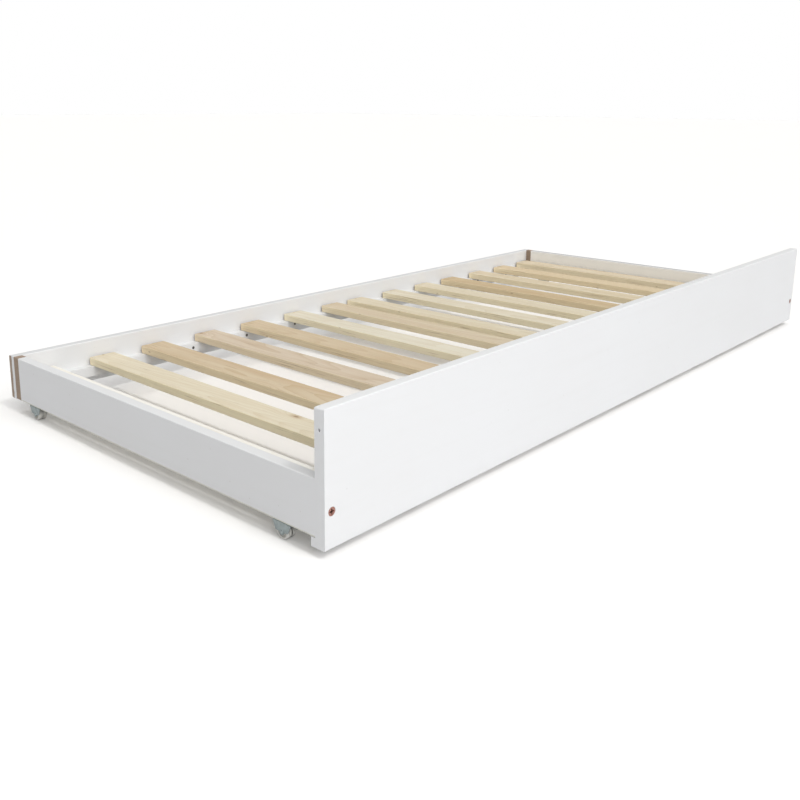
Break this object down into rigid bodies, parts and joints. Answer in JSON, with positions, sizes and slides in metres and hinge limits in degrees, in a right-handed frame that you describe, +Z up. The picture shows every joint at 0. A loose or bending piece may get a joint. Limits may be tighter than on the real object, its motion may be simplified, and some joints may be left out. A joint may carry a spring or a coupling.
{
  "type": "trundle bed",
  "caption": "Low slatted bed on small fixed casters, with a tall front panel and low ends and back, that rolls out from under another bed.",
  "frame": {"origin": "on the floor, at the centre of the bed's outline", "axes": "+Z up, +X along the bed, the tall front panel faces -Y"},
  "size_m": [1.96, 0.946, 0.2295],
  "materials": {
    "white_paint": "satin white lacquer",
    "raw_wood": "raw sawn end grain",
    "pine": "planed, unfinished",
    "dark_steel": "black phosphate",
    "yellow_zinc": "yellow passivated zinc",
    "copper_plate": "copper plated",
    "zinc_plate": "zinc plated",
    "wheel_plastic": "moulded nylon"
  },
  "bodies": {
    "frame": {"front_panel": "white_paint", "front_batten": "white_paint", "back_rail": "white_paint", "left_end_board": "white_paint", "right_end_board": "white_paint", "front_ledger": "white_paint", "back_ledger": "white_paint", "left_corner_block": "raw_wood", "right_corner_block": "raw_wood", "slat_01": "pine", "slat_02": "pine", "slat_03": "pine", "slat_04": "pine", "slat_05": "pine", "slat_06": "pine", "slat_07": "pine", "slat_08": "pine", "slat_09": "pine", "slat_10": "pine", "slat_11": "pine", "slat_12": "pine", "slat_13": "pine", "slat_14": "pine", "dowels": "pine", "slat_screws": "yellow_zinc", "ledger_screws": "dark_steel", "front_bolts": "copper_plate", "back_screws": "zinc_plate", "batten_screws": "zinc_plate", "caster_screws": "zinc_plate", "front_left_bracket": "zinc_plate", "front_right_bracket": "zinc_plate", "back_left_bracket": "zinc_plate", "back_right_bracket": "zinc_plate", "front_left_axle": "zinc_plate", "front_right_axle": "zinc_plate", "back_left_axle": "zinc_plate", "back_right_axle": "zinc_plate"},
    "front_left_wheel": {"front_left_wheel": "wheel_plastic"},
    "front_right_wheel": {"front_right_wheel": "wheel_plastic"},
    "back_left_wheel": {"back_left_wheel": "wheel_plastic"},
    "back_right_wheel": {"back_right_wheel": "wheel_plastic"}
  },
  "joints": [
    {"name": "front_left_wheel_spin", "type": "hinge", "parent": "frame", "child": "front_left_wheel", "pos_m": [-0.9685, -0.379, 0.0125], "axis": [1, 0, 0], "continuous": true},
    {"name": "front_right_wheel_spin", "type": "hinge", "parent": "frame", "child": "front_right_wheel", "pos_m": [0.9685, -0.379, 0.0125], "axis": [1, 0, 0], "continuous": true},
    {"name": "back_left_wheel_spin", "type": "hinge", "parent": "frame", "child": "back_left_wheel", "pos_m": [-0.9685, 0.379, 0.0125], "axis": [1, 0, 0], "continuous": true},
    {"name": "back_right_wheel_spin", "type": "hinge", "parent": "frame", "child": "back_right_wheel", "pos_m": [0.9685, 0.379, 0.0125], "axis": [1, 0, 0], "continuous": true}
  ]
}
